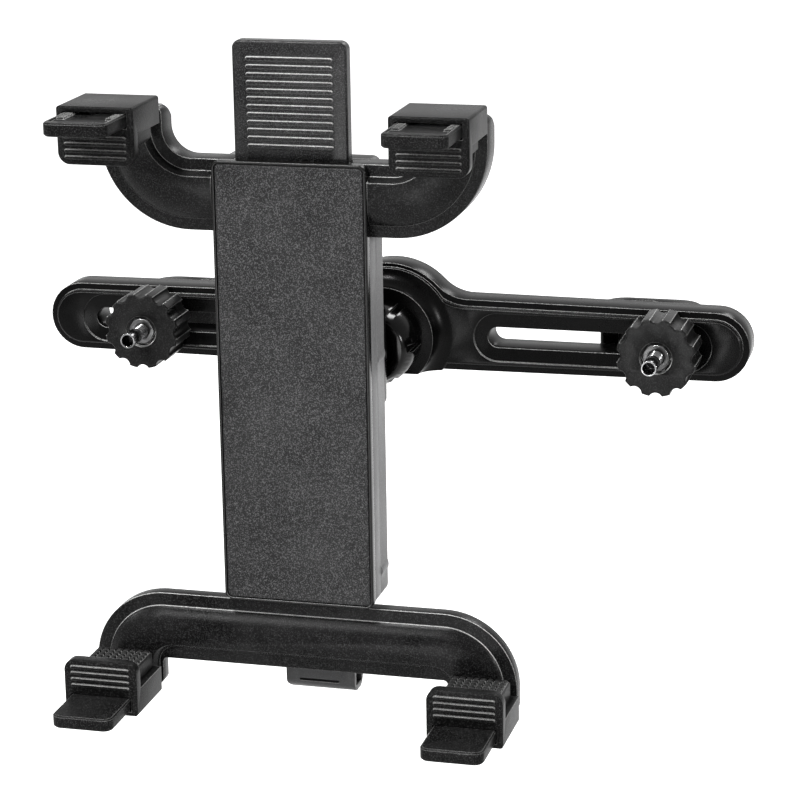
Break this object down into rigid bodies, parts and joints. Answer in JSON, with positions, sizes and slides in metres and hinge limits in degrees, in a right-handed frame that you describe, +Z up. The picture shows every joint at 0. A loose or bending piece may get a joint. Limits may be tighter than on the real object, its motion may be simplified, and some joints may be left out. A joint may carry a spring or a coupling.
{
  "type": "headrest tablet mount",
  "caption": "Tablet holder for a car headrest: slotted bar with hooks and hand knobs, ball joint, and a spring-loaded cradle with clamps at its arm ends.",
  "frame": {"origin": "midway between the centre lines of the headrest posts, at the middle height of the bar", "axes": "+X to the right as the passenger behind the seat sees it, -Y towards that passenger, +Z up along the posts"},
  "size_m": [0.2356, 0.1246, 0.213],
  "materials": {
    "bar_plastic": "satin black moulded",
    "nut_plastic": "semi-gloss black moulded",
    "knob_plastic": "fine matte black moulded",
    "nylon": "natural nylon",
    "ball_plastic": "polished black moulded",
    "shell_plastic": "dark grey moulded, fine grain",
    "cover_plastic": "satin black moulded",
    "pad_plastic": "dark grey leather grain",
    "arm_plastic": "black moulded, coarse grain",
    "slide_plastic": "dark grey moulded, fine grain",
    "tab_plastic": "dark grey moulded sheet",
    "clamp_plastic": "satin black moulded",
    "grip_rubber": "matte black rubber",
    "steel": "bright zinc plated steel",
    "screw_steel": "black oxide steel"
  },
  "bodies": {
    "bar": {"support_bar": "bar_plastic"},
    "nut": {"locking_nut": "nut_plastic"},
    "pan_seat": {"rear_liner": "nylon"},
    "tilt_seat": {"front_liner": "nylon"},
    "cradle": {"ball_stud": "ball_plastic", "mount_screws": "screw_steel", "rear_housing": "shell_plastic", "front_housing": "shell_plastic", "front_cover": "cover_plastic", "front_pad": "pad_plastic", "housing_screws": "screw_steel", "upper_arm": "arm_plastic", "upper_left_rail": "clamp_plastic", "upper_right_rail": "clamp_plastic", "upper_rail_pins": "screw_steel", "left_spring": "steel", "right_spring": "steel"},
    "slide": {"slide_bar": "slide_plastic", "lower_arm": "arm_plastic", "lower_arm_screws": "screw_steel", "pull_tab": "tab_plastic", "tab_screws": "screw_steel", "lower_left_rail": "clamp_plastic", "lower_right_rail": "clamp_plastic", "lower_rail_pins": "screw_steel"},
    "upper_left_jaw": {"upper_left_clamp": "clamp_plastic", "upper_left_grip": "grip_rubber"},
    "upper_right_jaw": {"upper_right_clamp": "clamp_plastic", "upper_right_grip": "grip_rubber"},
    "lower_left_jaw": {"lower_left_clamp": "clamp_plastic", "lower_left_grip": "grip_rubber"},
    "lower_right_jaw": {"lower_right_clamp": "clamp_plastic", "lower_right_grip": "grip_rubber"},
    "left_carriage": {"left_washer": "steel"},
    "left_wheel": {"left_knob": "knob_plastic", "left_knob_nut": "steel"},
    "left_jaw": {"left_hook": "bar_plastic", "left_hook_liner": "grip_rubber", "left_stud": "steel"},
    "right_carriage": {"right_washer": "steel"},
    "right_wheel": {"right_knob": "knob_plastic", "right_knob_nut": "steel"},
    "right_jaw": {"right_hook": "bar_plastic", "right_hook_liner": "grip_rubber", "right_stud": "steel"}
  },
  "joints": [
    {"name": "nut_turn", "type": "hinge", "parent": "bar", "child": "nut", "pos_m": [-0.0053, -0.0321, 0], "axis": [0, 1, 0], "range_deg": [-180, 30]},
    {"name": "pan", "type": "hinge", "parent": "bar", "child": "pan_seat", "pos_m": [-0.0053, -0.0321, 0], "axis": [0, 0, -1], "range_deg": [-10, 10]},
    {"name": "tilt", "type": "hinge", "parent": "pan_seat", "child": "tilt_seat", "pos_m": [-0.0053, -0.0321, 0], "axis": [1, 0, 0], "range_deg": [-10, 10]},
    {"name": "spin", "type": "hinge", "parent": "tilt_seat", "child": "cradle", "pos_m": [-0.0053, -0.0321, 0], "axis": [0, 1, 0], "continuous": true},
    {"name": "arm_slide", "type": "slide", "parent": "cradle", "child": "slide", "axis": [0, 0, -1], "range_m": [0, 0.038], "stiffness_N_per_m": 120, "springref_m": -0.03, "deforming": ["left_spring", "right_spring"]},
    {"name": "upper_left_clamp_slide", "type": "slide", "parent": "cradle", "child": "upper_left_jaw", "axis": [0, -1, 0], "range_m": [0, 0.012]},
    {"name": "upper_right_clamp_slide", "type": "slide", "parent": "cradle", "child": "upper_right_jaw", "axis": [0, -1, 0], "range_m": [0, 0.012]},
    {"name": "lower_left_clamp_slide", "type": "slide", "parent": "slide", "child": "lower_left_jaw", "axis": [0, -1, 0], "range_m": [0, 0.012]},
    {"name": "lower_right_clamp_slide", "type": "slide", "parent": "slide", "child": "lower_right_jaw", "axis": [0, -1, 0], "range_m": [0, 0.012]},
    {"name": "left_carriage_slide", "type": "slide", "parent": "bar", "child": "left_carriage", "axis": [1, 0, 0], "range_m": [-0.0166, 0.0422]},
    {"name": "left_knob_turn", "type": "hinge", "parent": "left_carriage", "child": "left_wheel", "pos_m": [-0.0853, -0.03, 0], "axis": [0, 1, 0], "range_deg": [-3600, 0]},
    {"name": "left_hook_draw", "type": "slide", "parent": "left_carriage", "child": "left_jaw", "axis": [0, 1, 0], "range_m": [0, 0.008]},
    {"name": "right_carriage_slide", "type": "slide", "parent": "bar", "child": "right_carriage", "axis": [-1, 0, 0], "range_m": [-0.006, 0.0528]},
    {"name": "right_knob_turn", "type": "hinge", "parent": "right_carriage", "child": "right_wheel", "pos_m": [0.0853, -0.03, 0], "axis": [0, 1, 0], "range_deg": [-3600, 0]},
    {"name": "right_hook_draw", "type": "slide", "parent": "right_carriage", "child": "right_jaw", "axis": [0, 1, 0], "range_m": [0, 0.008]}
  ],
  "couplings": [
    {"joint": "left_knob_turn", "follows": "left_hook_draw", "rad_per_m": -7853.9},
    {"joint": "right_knob_turn", "follows": "right_hook_draw", "rad_per_m": -7853.9}
  ]
}
